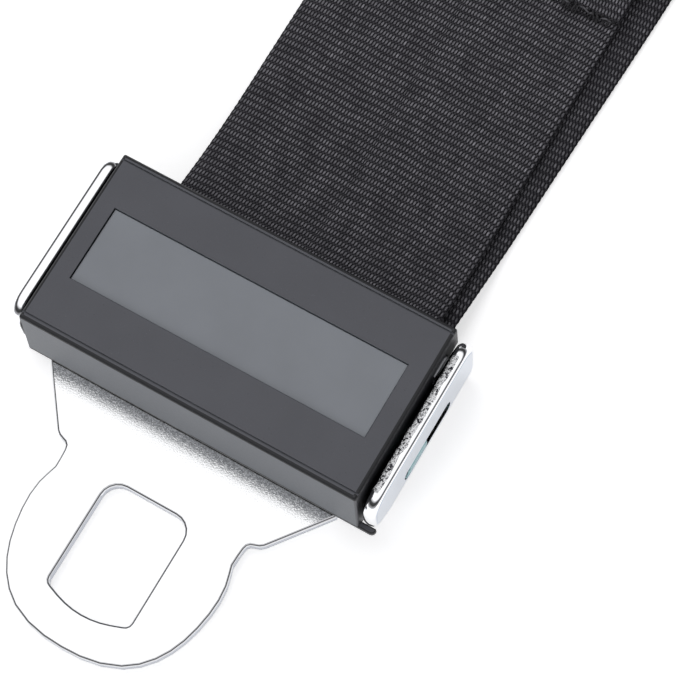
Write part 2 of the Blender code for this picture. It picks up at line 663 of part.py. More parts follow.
def make_ejector():
    mat = material("ejector_plastic", (0.62, 0.62, 0.60), 0.4)
    low = FRAME_BASE_TOP + GAP
    outline = round_rect(BUCKLE_X - EJECT_HALF, EJECT_BACK, BUCKLE_X + EJECT_HALF, EJECT_FRONT, 0.6, 2)
    ejector = slab("ejector", outline, low, low + EJECT_HIGH, edge=0.3, steps=1, mat=mat)
    set_origin(ejector, BUCKLE_X, EJECT_BACK, low)
    return ejector


def make_springs():
    wire = material("spring_steel", (0.55, 0.55, 0.56), 0.3, 1.0)
    z = (BUTTON_LOW + BUTTON_HIGH) / 2
    springs = []
    for side, word in ((-1, "left"), (1, "right")):
        x = BUCKLE_X + side * SPRING_X
        springs.append(coil(f"button_spring_{word}", (x, RIB_Y + 2 + GAP, z), (x, BUTTON_BACK - GAP, z),
                            1.9, 0.28, 5, wire))
    low = FRAME_BASE_TOP + GAP
    stop = TAB_Y + TAB_THICK + GAP
    z = low + EJECT_HIGH / 2
    springs.append(coil("ejector_spring", (BUCKLE_X, stop, z), (BUCKLE_X, EJECT_BACK - GAP, z),
                        1.45, 0.25, 7, wire))
    mid = PIVOT_Y + LATCH_SPRING_OUT
    slope = math.radians(LATCH_LIFT)
    plate = (LATCH_SPRING_OUT + LATCH_SPRING_R + 0.3) * math.tan(slope) + LATCH_THICK / 2 / math.cos(slope)
    foot = PIVOT_Z + plate + GAP
    springs.append(coil("latch_spring", (BUCKLE_X, mid, foot), (BUCKLE_X, mid, BUCKLE_HIGH - ROOF - GAP),
                        LATCH_SPRING_R, 0.28, 4, wire))
    return springs


def make_rivets():
    mat = material("rivet_steel", (0.6, 0.6, 0.61), 0.3, 1.0)
    rivets = []
    top = FRAME_BASE_TOP + GAP
    for side, word in ((-1, "left"), (1, "right")):
        x = BUCKLE_X + side * RIVET_X
        loops = [(circle(x, RIVET_Y, r), h) for r, h in
                 ((3.0, 0.3), (3.5, 0.6), (3.5, 1.1), (2.0, 1.1 + 0.001), (2.0, top), (3.4, top + 0.001),
                  (3.4, top + 0.6), (2.6, top + 1.1))]
        rivets.append(loft(f"rivet_{word}", loops, "Z", mat))
    return rivets


clear_scene()
make_tongue_plate()
make_cover()
make_label()
make_bars()
make_strap()
make_shells()
make_buckle_frame()
make_anchor_pin()
make_latch()
make_button()
make_ejector()
make_springs()
make_rivets()
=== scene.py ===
import math
import random

import bpy
from mathutils import Matrix, Vector


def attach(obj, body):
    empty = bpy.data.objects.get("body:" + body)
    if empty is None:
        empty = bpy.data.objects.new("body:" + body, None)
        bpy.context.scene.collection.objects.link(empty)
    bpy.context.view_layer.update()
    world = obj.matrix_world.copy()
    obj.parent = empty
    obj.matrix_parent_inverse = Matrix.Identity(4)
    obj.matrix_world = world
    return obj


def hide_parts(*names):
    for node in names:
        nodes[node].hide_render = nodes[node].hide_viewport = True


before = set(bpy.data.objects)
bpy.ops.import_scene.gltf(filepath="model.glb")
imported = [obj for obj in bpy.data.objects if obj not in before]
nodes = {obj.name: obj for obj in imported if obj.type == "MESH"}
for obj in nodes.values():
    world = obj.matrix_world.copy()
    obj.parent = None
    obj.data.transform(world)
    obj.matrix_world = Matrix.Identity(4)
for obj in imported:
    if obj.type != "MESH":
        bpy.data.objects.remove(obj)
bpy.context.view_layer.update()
random.seed(7)

# The part's own sizes, in millimetres, as its source has them. The tongue points to -Y.
CENTRE_X, CENTRE_Y = 1.625, 82.7
STEEL = 2.4
FLANGE_OUT, FLANGE_TOP = 32.25, 13.7
FLANGE_IN = FLANGE_OUT - STEEL
GAP = 0.3
BAR_Y, BAR_Z, BAR_LONG, BAR_HIGH = 13.25, 5.8, 6.0, 3.2
WEB_WIDE, WEB_THICK = 47.0, 1.2
TAIL_END, TAIL_RAW, TAIL_X, TAIL_PULL = 115.0, 91.2, 0.8, 0.5
ANCHOR_RAW = 127.0
BUCKLE_X = 6.0
PIN_Y, PIN_Z, PIN_R = 149.5, 10.0, 3.0
LOAD_X = [(BAR_Y, 1.6), (34.5, 3.2), (50.0, 3.6), (70.0, 4.4), (100.0, 5.65), (126.0, 6.0),
          (150.0, BUCKLE_X)]
TAIL_DOWN = 58.0                     # where the tail has come down onto the lower strand
PULL_FROM, PULL_LONG = 60.0, 25.0    # where the tail starts to move sideways, and over what length
LOAD_UP = 29.0                       # where the lower strand has risen onto the plate
LOAD_OFF, LOAD_OFF_LONG = 34.0, 18.0    # where it leaves the plate, and over what length it comes down
LOAD_LAST = 129.0                    # where it starts to rise to the buckle's pin
LAYER = WEB_THICK + GAP              # from one layer of the strap to the next
TAIL_REST = WEB_THICK * 1.5 + GAP    # height of the tail's middle where it lies on the lower strand

# Looks, also in millimetres
TORN_TO = 31.25    # outer limit of the torn part of the right side's top edge
TORN_FRONT, TORN_REAR = (2.4, 3.2), (26.0, 27.2)
WEB_DARK, WEB_LIGHT = (0.0080, 0.0077, 0.0100), (0.325, 0.317, 0.348)
ROW = 1.25         # length of one row of floats along the belt
GRAIN = 0.545      # width of one warp float across it
FINE_END = 245.0   # how far along the belt its rows are modelled
FINE_STEP, COARSE_STEP = ROW / 4, 0.8
WEB_COLUMNS = 48
EDGE_ROUND = 0.9   # how far in from its sides the belt gets thinner
STITCH_HALF = 21.5
FRAY_ENDS, TANGLE_ENDS = 420, 46
FALL = (1.0, 0.0)  # for a ramp that goes down
LEVEL = 0.9995     # a normal this close to an axis belongs to a flat face


def place(x, y, z):
    """A point of the part's source, in the frame."""
    return Vector(((x - CENTRE_X) / 1000, (y - CENTRE_Y) / 1000, z / 1000))


def tinted(colour, factor):
    return tuple(min(1.0, c * factor) for c in colour)


# Node helpers

class Tree:
    """Short calls for building the nodes of a material or a world."""

    def __init__(self, owner, output="ShaderNodeOutputMaterial"):
        self.owner = owner
        owner.use_nodes = True
        self.tree = owner.node_tree
        self.tree.nodes.clear()
        self.out = self.tree.nodes.new(output)

    def node(self, kind, **settings):
        n = self.tree.nodes.new(kind)
        for key, value in settings.items():
            setattr(n, key, value)
        return n

    def link(self, source, target):
        self.tree.links.new(source, target)

    def feed(self, socket, value):
        if isinstance(value, bpy.types.NodeSocket):
            self.link(value, socket)
        else:
            socket.default_value = value

    def math(self, operation, *values, clamp=False):
        n = self.node("ShaderNodeMath", operation=operation, use_clamp=clamp)
        for socket, value in zip(n.inputs, values):
            self.feed(socket, value)
        return n.outputs[0]

    def chain(self, operation, values):
        result = values[0]
        for value in values[1:]:
            result = self.math(operation, result, value)
        return result

    def times(self, *values):
        return self.chain("MULTIPLY", values)

    def plus(self, *values):
        return self.chain("ADD", values)

    def less(self, a, b, clamp=False):
        return self.math("SUBTRACT", a, b, clamp=clamp)

    def magnitude(self, value):
        return self.math("ABSOLUTE", value)

    def ramp(self, value, low, high, to_low=0.0, to_high=1.0):
        n = self.node("ShaderNodeMapRange", interpolation_type="SMOOTHSTEP")
        self.feed(n.inputs["Value"], value)
        n.inputs["From Min"].default_value = low
        n.inputs["From Max"].default_value = high
        n.inputs["To Min"].default_value = to_low
        n.inputs["To Max"].default_value = to_high
        return n.outputs["Result"]

    def ramp_mm(self, value, low, high, *to):
        """A ramp over a place in metres, with its two limits in millimetres."""
        return self.ramp(value, low / 1000, high / 1000, *to)

    def mix(self, factor, a, b):
        n = self.node("ShaderNodeMix", data_type="RGBA")
        self.feed(n.inputs[0], factor)
        self.feed(n.inputs[6], a if isinstance(a, bpy.types.NodeSocket) else (*a, 1.0))
        self.feed(n.inputs[7], b if isinstance(b, bpy.types.NodeSocket) else (*b, 1.0))
        return n.outputs[2]

    def split(self, vector):
        parts = self.node("ShaderNodeSeparateXYZ")
        self.link(vector, parts.inputs[0])
        return parts.outputs

    def where(self):
        """The point's own place in the frame, in metres."""
        return self.node("ShaderNodeTexCoord").outputs["Object"]

    def facing(self):
        """The surface's own direction, split into X, Y and Z."""
        return self.split(self.node("ShaderNodeTexCoord").outputs["Normal"])

    def noise(self, vector, scale, detail=2.0, rough=0.5):
        n = self.node("ShaderNodeTexNoise")
        self.feed(n.inputs["Vector"], vector)
        n.inputs["Scale"].default_value = scale
        n.inputs["Detail"].default_value = detail
        n.inputs["Roughness"].default_value = rough
        return n.outputs["Fac"]

    def bump(self, height, distance, strength=1.0, normal=None):
        n = self.node("ShaderNodeBump")
        self.feed(n.inputs["Height"], height)
        n.inputs["Distance"].default_value = distance
        n.inputs["Strength"].default_value = strength
        if normal is not None:
            self.link(normal, n.inputs["Normal"])
        return n.outputs["Normal"]

    def shader(self, **inputs):
        n = self.node("ShaderNodeBsdfPrincipled")
        for key, value in inputs.items():
            self.feed(n.inputs[key.replace("_", " ")], value)
        self.link(n.outputs[0], self.out.inputs["Surface"])
        return n


def material_tree(name):
    return Tree(bpy.data.materials.new(name))


def dress(name, mat, sharp=14):
    """Puts a material on a CAD node; its flat faces stay flat and its round ones shade smoothly."""
    mesh = nodes[name].data
    mesh.materials.clear()
    mesh.materials.append(mat)
    mesh.polygons.foreach_set("use_smooth", [True] * len(mesh.polygons))
    mesh.set_sharp_from_angle(angle=math.radians(sharp))


def soften_roundings(name, broad, most=60):
    """Shades a node's roundings as smooth turns, and keeps its broad faces flat right to their rims."""
    mesh = nodes[name].data
    if "custom_normal" in mesh.attributes:
        mesh.attributes.remove(mesh.attributes["custom_normal"])
    # corners on the same half micrometre count as one
    spots = [tuple(round(c * 2e6) for c in v.co) for v in mesh.vertices]
    beside = {}
    for face in mesh.polygons:
        for a, b in face.edge_keys:
            beside.setdefault(frozenset((spots[a], spots[b])), []).append(face)
    for edge in mesh.edges:
        pair = beside[frozenset(spots[v] for v in edge.vertices)]
        angle = math.degrees(pair[0].normal.angle(pair[-1].normal, 0))
        edge.use_edge_sharp = angle > most or (angle > 0.5 and any(broad(face) for face in pair))
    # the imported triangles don't share their corners, and shading can only run across shared ones
    weld = nodes[name].modifiers.new("shared_corners", "WELD")
    weld.merge_threshold = 1e-6


def plate_face(face):
    """The tongue's level faces and the sides' upright ones."""
    level = abs(face.normal.z) > LEVEL and face.center.z < (STEEL + 0.1) / 1000
    return abs(face.normal.x) > LEVEL or level


def chrome():
    """Polished chrome, with a torn edge on the right side, a speckled band of painted reflection of the
    dark cover beside it, painted dark reflections on its turned edges and in the gap, and a painted floor
    reflection on its outer faces.
    """
    face, sheared, painted_edge_reflection = (0.93, 0.935, 0.945), (0.50, 0.52, 0.57), (0.05, 0.052, 0.06)
    painted_cover_reflection, painted_floor_reflection = (0.20, 0.21, 0.23), (0.51, 0.55, 0.615)
    pit, painted_gap_shade = (0.05, 0.05, 0.06), (0.03, 0.03, 0.035)
    t = material_tree("polished_chrome")
    point = t.where()
    at = t.split(point)
    facing = t.facing()
    x = t.plus(at[0], CENTRE_X / 1000)
    y = t.plus(at[1], CENTRE_Y / 1000)
    z = at[2]
    side = t.magnitude(x)
    up = t.magnitude(facing[2])
    tongue = t.ramp_mm(z, STEEL, STEEL + 0.3, *FALL)
    flat_top = t.times(t.ramp(facing[2], 0.93, 0.99), tongue)
    # sheared walls are duller than the faces, and the turned edges between them carry a painted dark
    # reflection of the room
    wall = t.times(t.ramp(up, 0.10, 0.25, *FALL), tongue)
    edge_reflection_mask = t.times(t.ramp(up, 0.25, 0.35), t.ramp(up, 0.93, 0.97, *FALL), tongue, 0.45)
    # painted reflection: the sides' outer faces take the pale lavender of the floor they mirror
    floor_reflection_mask = t.times(t.ramp(t.magnitude(facing[0]), 0.85, 0.95),
                    t.ramp_mm(side, FLANGE_OUT - 0.3, FLANGE_OUT - 0.1))
    # the inner part of the right side's top edge is torn by the shears and sparkles
    ragged = t.times(t.less(t.noise(point, 420, 2), 0.5), 0.0009)
    border = t.plus(x, ragged)
    torn = t.times(t.ramp_mm(border, TORN_TO, TORN_TO + 0.1, *FALL),
                   t.ramp_mm(z, FLANGE_TOP - 0.9, FLANGE_TOP - 0.6),
                   t.ramp_mm(border, FLANGE_IN + 0.30, FLANGE_IN + 0.45),
                   t.ramp_mm(y, *TORN_FRONT), t.ramp_mm(y, *TORN_REAR, *FALL))
    grit = t.noise(point, 2000, 4, 0.7)
    pits = t.times(torn, t.ramp(grit, 0.43, 0.50, *FALL))
    # beside the cover the stamped face carries a painted, speckled reflection of the dark cover
    cover_reflection_mask = t.times(flat_top, t.ramp_mm(y, -4.4, -1.6),
                   t.ramp(t.noise(point, 4800, 1, 0.5), 0.46, 0.54, *FALL))
    # the sides' inner faces, in the narrow gap beside the cover, are painted dark as shade and dark
    # reflection
    gap_shade_mask = t.times(t.ramp_mm(side, FLANGE_IN + 0.30, FLANGE_IN + 0.45, *FALL),
                       t.ramp_mm(z, STEEL, STEEL + 0.5),
                       t.ramp_mm(side, FLANGE_IN - 1.0, FLANGE_IN - 0.5))
    colour = t.mix(wall, face, sheared)
    for where, paint in ((edge_reflection_mask, painted_edge_reflection), (t.times(cover_reflection_mask, 0.55), painted_cover_reflection), (floor_reflection_mask, painted_floor_reflection),
                         (pits, pit), (gap_shade_mask, painted_gap_shade)):
        colour = t.mix(where, colour, paint)
    blotch = t.noise(point, 70, 3)
    rough = t.plus(0.05, t.times(flat_top, 0.05), t.times(wall, 0.25), t.times(torn, 0.12),
                   t.times(blotch, 0.02))
    # the stamped face has a fine orange peel that breaks up what it mirrors
    peel = t.noise(point, 4200, 2, 0.6)
    first = t.bump(t.times(peel, flat_top), 0.000016)
    normal = t.bump(t.times(torn, grit), 0.0003, normal=first)
    t.shader(Base_Color=colour, Metallic=1.0, Roughness=rough, Normal=normal)
    return t.owner


def moulded(name, colour, rough, grain=0.00003, scale=2600, fleck=0.0, edges=False):
    """Moulded plastic with a fine grain and faint specks; edges paints light and shade onto the cover:
    darker roundings and sides, a lighter front and a dark foot.
    """
    t = material_tree(name)
    point = t.where()
    fine = t.noise(point, scale, 3, 0.6)
    base = t.mix(t.noise(point, 120, 3), tinted(colour, 0.90), tinted(colour, 1.10))
    if fleck:
        # pale specks, then dark pores
        for spacing, least, tone in ((3400, 0.66, 1.8), (2300, 0.68, 0.45)):
            spots = t.ramp(t.noise(point, spacing, 2, 0.8), least, 0.74)
            base = t.mix(t.times(spots, fleck), base, tinted(colour, tone))
    if edges:
        # painted light and shade: dark roundings, darker sides, a lighter front face and a black painted
        # shadow along the foot
        facing = t.facing()
        painted_rounding_shade = t.times(t.ramp(facing[2], 0.975, 0.995, *FALL), t.ramp(facing[2], 0.03, 0.15))
        side = t.ramp(t.magnitude(facing[0]), 0.98, 0.995)
        front = t.ramp(facing[1], -0.995, -0.98, *FALL)
        lit_front = tuple(min(1.0, c * k) for c, k in zip(colour, (1.44, 1.52, 1.49)))
        painted_foot_shadow = t.ramp_mm(t.split(point)[2], STEEL + GAP + 0.40, STEEL + GAP + 0.55, *FALL)
        for where, paint in ((painted_rounding_shade, tinted(colour, 0.16)), (side, tinted(colour, 0.35)),
                             (front, lit_front), (painted_foot_shadow, (0.0, 0.0, 0.0))):
            base = t.mix(where, base, paint)
    node = t.shader(Base_Color=base, Roughness=t.plus(t.times(fine, 0.12), rough - 0.06),
                    Normal=t.bump(fine, grain, 0.7))
    node.inputs["Specular IOR Level"].default_value = 0.35
    return t.owner


def brushed(name, colour, rough, stretch=(1, 1, 1)):
    """Bare metal with fine lines, drawn out by stretch."""
    t = material_tree(name)
    turn = t.node("ShaderNodeMapping")
    t.link(t.where(), turn.inputs["Vector"])
    turn.inputs["Scale"].default_value = stretch
    lines = t.noise(turn.outputs[0], 2200, 3)
    base = t.mix(lines, tinted(colour, 0.85), tinted(colour, 1.1))
    t.shader(Base_Color=base, Metallic=1.0, Roughness=t.plus(t.times(lines, 0.15), rough),
             Normal=t.bump(lines, 0.00001, 0.5))
    return t.owner


def warp_floats(t, across, along, offset, long, lean):
    """Height of one set of floats, its column and its row; offset moves it half a float each way."""
    cols = t.plus(t.math("DIVIDE", across, GRAIN), offset)
    column = t.math("FLOOR", cols)
    step = t.times(t.math("PINGPONG", column, 7.0), 0.02)
    rows = t.plus(t.math("DIVIDE", along, ROW), step, offset)
    row = t.math("FLOOR", rows)
    cu = t.times(t.less(t.math("FRACT", cols), 0.5), 2.0)
    cv = t.times(t.less(t.math("FRACT", rows), 0.5), 2.0)
    cu = t.plus(cu, t.times(cv, lean))
    ends = t.math("POWER", t.times(t.magnitude(cv), long), 2.6)
    body = t.less(1.0, t.plus(t.times(cu, cu, 1.5), ends), clamp=True)
    return t.math("POWER", body, 0.8), column, row


def webbing_material():
    """Black polyester: rows of warp floats, smaller ones in their gaps, and a few knots along the belt."""
    t = material_tree("woven_webbing")
    uv = t.split(t.node("ShaderNodeUVMap", uv_map="belt").outputs[0])
    across, along = uv[0], uv[1]
    point = t.where()
    along = t.plus(along, t.times(t.less(t.noise(point, 140, 2), 0.5), 0.35))
    dome, column, row = warp_floats(t, across, along, 0.0, 1.22, 0.25)
    small = t.times(warp_floats(t, across, along, 0.5, 2.3, 0.3)[0], 0.16)
    cell = t.node("ShaderNodeCombineXYZ")
    t.link(column, cell.inputs[0])
    t.link(row, cell.inputs[1])
    chance = t.node("ShaderNodeTexWhiteNoise", noise_dimensions="2D")
    t.link(cell.outputs[0], chance.inputs["Vector"])
    luck = chance.outputs["Value"]
    height = t.math("MAXIMUM", t.times(dome, t.plus(0.75, t.times(luck, 0.3))), small)
    fibre = t.noise(point, 6500, 2, 0.7)
    # the floats' colour follows their height, so the gaps between them carry painted shade
    shade = t.math("MAXIMUM", t.times(dome, t.plus(0.50, t.times(luck, 0.28))), small)
    patch = t.ramp(t.noise(point, 330, 2), 0.3, 0.7, 0.80, 1.15)
    shade = t.times(shade, t.times(patch, t.plus(0.7, t.times(fibre, 0.6))))
    # every seventeenth column has a paler float in every other row
    knot_column = t.math("COMPARE", t.math("MODULO", t.plus(column, 200.0), 17.0), 3.0, 0.5)
    knot_row = t.math("COMPARE", t.math("MODULO", t.plus(row, 400.0), 2.0), 1.0, 0.5)
    shade = t.plus(shade, t.times(knot_column, knot_row, dome, 0.30))
    # the lower strand is deeper in shade beside the tail that lies on it
    under = t.times(t.ramp(along, 130.0, 134.0), t.ramp(across, 19.0, 20.5))
    shade = t.times(shade, t.less(1.0, t.times(under, 0.35)))
    node = t.shader(Base_Color=t.mix(shade, WEB_DARK, WEB_LIGHT), Roughness=0.75,
                    Normal=t.bump(t.plus(height, t.times(fibre, 0.10)), 0.00022))
    node.inputs["Specular IOR Level"].default_value = 0.10
    return t.owner


def thread_material(name, tone):
    t = material_tree(name)
    twist = t.noise(t.where(), 5200, 2)
    base = t.mix(twist, WEB_DARK, tuple(c * tone for c in WEB_LIGHT))
    t.shader(Base_Color=base, Roughness=0.6, Normal=t.bump(twist, 0.00008))
    return t.owner


# The strap's route, as in the part's source

def smooth(t):
    t = min(1.0, max(0.0, t))
    return t * t * (3 - 2 * t)


def spline(knots, t):
    """A smooth curve through (t, value) knots."""
    for i in range(len(knots) - 1):
        if t <= knots[i + 1][0] or i == len(knots) - 2:
            break
    (t0, v0), (t1, v1) = knots[i], knots[i + 1]
    a = knots[max(0, i - 1)]
    b = knots[min(len(knots) - 1, i + 2)]
    m0 = (v1 - a[1]) / (t1 - a[0])
    m1 = (b[1] - v0) / (b[0] - t0)
    s = min(1.0, max(0.0, (t - t0) / (t1 - t0)))
    h = t1 - t0
    return ((2 * s**3 - 3 * s**2 + 1) * v0 + (s**3 - 2 * s**2 + s) * h * m0
            + (-2 * s**3 + 3 * s**2) * v1 + (s**3 - s**2) * h * m1)


def tail_height(y):
    top = BAR_Z + BAR_HIGH / 2 + GAP + WEB_THICK / 2
    return top + (TAIL_REST - top) * smooth((y - BAR_Y) / (TAIL_DOWN - BAR_Y))


def load_height(y):
    start = BAR_Z - BAR_HIGH / 2 - GAP - WEB_THICK / 2
    over = STEEL + GAP + WEB_THICK / 2
    z = start + (over - start) * smooth((y - BAR_Y) / (LOAD_UP - BAR_Y))
    return z + (WEB_THICK / 2 - over) * smooth((y - LOAD_OFF) / LOAD_OFF_LONG)


def strap_route():
    """Finely spaced points along the belt's middle, from the hem's cut edge to the end at the buckle."""
    path = []
    for i in range(40):
        path.append((TAIL_X, TAIL_RAW + (TAIL_END - TAIL_RAW) * i / 40, TAIL_REST + LAYER))
    fold = LAYER / 2
    for i in range(17):
        a = math.radians(90 - 180 * i / 16)
        path.append((TAIL_X, TAIL_END + fold * math.cos(a), TAIL_REST + fold + fold * math.sin(a)))
    front = BAR_Y - (BAR_LONG - BAR_HIGH) / 2
    for i in range(1, 300):
        y = TAIL_END + (front - TAIL_END) * i / 300
        path.append((TAIL_X + TAIL_PULL * smooth((PULL_FROM - y) / PULL_LONG), y, tail_height(y)))
    wrap = BAR_HIGH / 2 + GAP + WEB_THICK / 2
    for i in range(33):
        a = math.radians(90 + 180 * i / 32)
        x = TAIL_X + TAIL_PULL + (LOAD_X[0][1] - TAIL_X - TAIL_PULL) * i / 32
        path.append((x, front + wrap * math.cos(a), BAR_Z + wrap * math.sin(a)))
    for i in range(1, 201):
        y = front + (LOAD_LAST - front) * i / 200
        path.append((spline(LOAD_X, max(y, BAR_Y)), y, load_height(y)))
    loop = PIN_R + GAP + WEB_THICK / 2
    rise = PIN_Z - loop - WEB_THICK / 2
    for i in range(1, 41):
        t = i / 40
        y = LOAD_LAST + (PIN_Y - LOAD_LAST) * t
        path.append((spline(LOAD_X, y), y, WEB_THICK / 2 + rise * smooth(1.3 * t)))
    for i in range(1, 33):
        a = math.radians(-90 + 180 * i / 32)
        path.append((BUCKLE_X, PIN_Y + loop * math.cos(a), PIN_Z + loop * math.sin(a)))
    top = PIN_Z + loop
    over = WEB_THICK / 2 + LAYER
    back = PIN_Y - ANCHOR_RAW
    for i in range(1, 61):
        t = i / 60
        y = PIN_Y - back * t
        path.append((spline(LOAD_X, y), y, top + (over - top) * smooth(t * back / (back - 5.0))))
    return [Vector(p) for p in path]


def resample(path):
    """Even stations along the route, closer where the belt is seen from near: (point, length so far)."""
    lengths = [0.0]
    for a, b in zip(path, path[1:]):
        lengths.append(lengths[-1] + (b - a).length)
    total = lengths[-1]
    stations, s, k = [], 0.0, 0
    while s < total - 1e-6:
        while lengths[k + 1] < s:
            k += 1
        f = (s - lengths[k]) / (lengths[k + 1] - lengths[k])
        stations.append((path[k].lerp(path[k + 1], f), s))
        s += FINE_STEP if s < FINE_END else COARSE_STEP
    stations.append((path[-1], total))
    return stations, total


def add_object(name, verts, faces, smooth_faces=True):
    mesh = bpy.data.meshes.new(name)
    mesh.from_pydata(verts, [], faces)
    mesh.polygons.foreach_set("use_smooth", [smooth_faces] * len(mesh.polygons))
    mesh.update()
    obj = bpy.data.objects.new(name, mesh)
    bpy.context.scene.collection.objects.link(obj)
    return obj


def belt_points(stations):
    """The belt's corners, one closed ring of them a station, and each corner's place on the flat belt."""
    half, thick = WEB_WIDE / 2, WEB_THICK / 2
    steps = [WEB_WIDE * c / WEB_COLUMNS for c in range(WEB_COLUMNS + 1)]
    ring = [(step - half, 1) for step in steps] + [(half - step, -1) for step in steps]
    verts, uvs = [], []
    for i, (p, s) in enumerate(stations):
        before = stations[max(0, i - 1)][0]
        after = stations[min(len(stations) - 1, i + 1)][0]
        run = after - before
        up = Vector((1, 0, 0)).cross(Vector((0.0, run.y, run.z)).normalized())
        # its sides are scalloped, and its faces are ribbed with every row of floats
        scallop = 0.10 * math.sin(math.pi * s / ROW) + 0.03 * math.sin(2 * math.pi * s / 0.73)
        rib = 0.04 * math.cos(2 * math.pi * s / ROW) if s < FINE_END else 0.0
        for across, side in ring:
            edge = min(1.0, (half - abs(across)) / EDGE_ROUND)
            swell = thick * (0.45 + 0.55 * math.sqrt(max(0.0, 1 - (1 - edge)**2)))
            out = (across - 0.14 * math.copysign(1, across)
                   + math.copysign(scallop, across) * (1 - edge))
            verts.append(place(*(p + Vector((out, 0, 0)) + up * (side * (swell - 0.04 + rib)))))
            uvs.append((across, s if side > 0 else s + 0.37))
    return verts, uvs


def belt_faces(count):
    """The faces between the rings, and those that close the belt's two ends."""
    size = 2 * (WEB_COLUMNS + 1)
    faces = []
    for i in range(count - 1):
        for k in range(size):
            n = (k + 1) % size
            faces.append((i * size + k, i * size + n, (i + 1) * size + n, (i + 1) * size + k))
    last = (count - 1) * size
    for c in range(WEB_COLUMNS):
        faces.append((c + 1, c, size - 1 - c, size - 2 - c))
        faces.append((last + c, last + c + 1, last + size - 2 - c, last + size - 1 - c))
    return faces


def make_webbing():
    stations, total = resample(strap_route())
    verts, uvs = belt_points(stations)
    faces = belt_faces(len(stations))
    obj = add_object("webbing_woven", verts, faces)
    mesh = obj.data
    layer = mesh.uv_layers.new(name="belt")
    corners = [0] * len(mesh.loops)
    mesh.loops.foreach_get("vertex_index", corners)
    layer.data.foreach_set("uv", [c for v in corners for c in uvs[v]])
    mesh.materials.append(webbing_material())
    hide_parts("webbing")
    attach(obj, "strap_and_buckle")
    print("strap", round(total, 1), "mm,", len(faces) * 2, "triangles")


def tube(verts, faces, path, radius, sides=5):
    """Adds a thin closed tube along a path of part points to the lists."""
    start = len(verts)
    for i, p in enumerate(path):
        along = (path[min(i + 1, len(path) - 1)] - path[max(i - 1, 0)]).normalized()
        u = along.orthogonal().normalized()
        v = along.cross(u)
        thin = radius * (0.45 if i in (0, len(path) - 1) else 1.0)
        for k in range(sides):
            a = 2 * math.pi * k / sides
            verts.append(place(*(p + (u * math.cos(a) + v * math.sin(a)) * thin)))
    for i in range(len(path) - 1):
        for k in range(sides):
            n = (k + 1) % sides
            low, high = start + i * sides, start + (i + 1) * sides
            faces.append((low + k, low + n, high + n, high + k))
    faces.append(tuple(start + k for k in reversed(range(sides))))
    faces.append(tuple(start + (len(path) - 1) * sides + k for k in range(sides)))


def thread_piece(name, paths, radius, tone=1.0):
    """One object of many short threads, riding with the strap."""
    verts, faces = [], []
    for path in paths:
        tube(verts, faces, path, radius)
    obj = add_object(name, verts, faces)
    obj.data.materials.append(thread_material(name + "_thread", tone))
    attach(obj, "strap_and_buckle")


def stitch_row(centre_x, y, z, pitch=3.2, long=2.5):
    """Straight stitches in a row across the belt, each sunk at its two ends."""
    rows = []
    for i in range(int(2 * STITCH_HALF / pitch)):
        x = centre_x - STITCH_HALF + pitch * (i + 0.5)
        rows.append([Vector((x + long * (k / 4 - 0.5), y + random.uniform(-0.05, 0.05),
                             z + 0.16 * math.sin(math.pi * k / 4) - 0.10)) for k in range(5)])
    return rows


def make_stitching():
    """Two rows through the hem, and two that close the loop round the buckle's pin."""
    hem_top = WEB_THICK * 2 + GAP + LAYER
    loop_top = WEB_THICK + LAYER
    loop_x = 5.9
    for name, x, places, z in (
            ("hem_stitching", TAIL_X, (TAIL_RAW + 7.0, TAIL_END - 4.0), hem_top),
            ("loop_stitching", loop_x, (ANCHOR_RAW + 1.6, ANCHOR_RAW + 4.0), loop_top)):
        rows = []
        for y in places:
            rows += stitch_row(x, y, z)
        thread_piece(name, rows, 0.2)


def make_fray():
    """Warp ends standing out of the hem's cut edge, matted into an uneven fringe."""
    top = TAIL_REST + LAYER
    ends = []
    for i in range(FRAY_ENDS):
        x = TAIL_X + random.uniform(-23.2, 23.2)
        z = top + random.uniform(-0.55, 0.5)
        reach = random.uniform(0.4, 2.1) * (0.55 + 0.45 * math.sin(1.7 * x + 2.0 * math.sin(0.6 * x)))
        drift = random.uniform(-0.9, 0.9)
        lift = random.uniform(-0.5, 0.3)
        wave = random.uniform(-0.2, 0.2)
        ends.append([Vector((x + drift * (k / 4)**2 + wave * math.sin(math.pi * k / 2),
                             TAIL_RAW + 0.5 - (reach + 0.5) * k / 4,
                             z + lift * (k / 4)**2)) for k in range(5)])
    # the fray ends are coloured darker than the belt as painted shade of the fringe
    thread_piece("hem_fray", ends, 0.11, 0.12)
    tangle = []
    for i in range(TANGLE_ENDS):
        x = TAIL_X + random.uniform(-22.8, 22.8)
        long = random.uniform(0.5, 2.2)
        slope = random.uniform(-0.5, 0.5)
        y = TAIL_RAW - 0.2 + random.uniform(-0.45, 0.4)
        z = top + 0.45 + random.uniform(-0.1, 0.15)
        tangle.append([Vector((x + long * (k / 5 - 0.5), y + slope * (k / 5 - 0.5),
                               z - 0.5 * (2 * k / 5 - 1)**2)) for k in range(6)])
    thread_piece("hem_tangle", tangle, 0.17, 0.55)


# Floor, light and camera

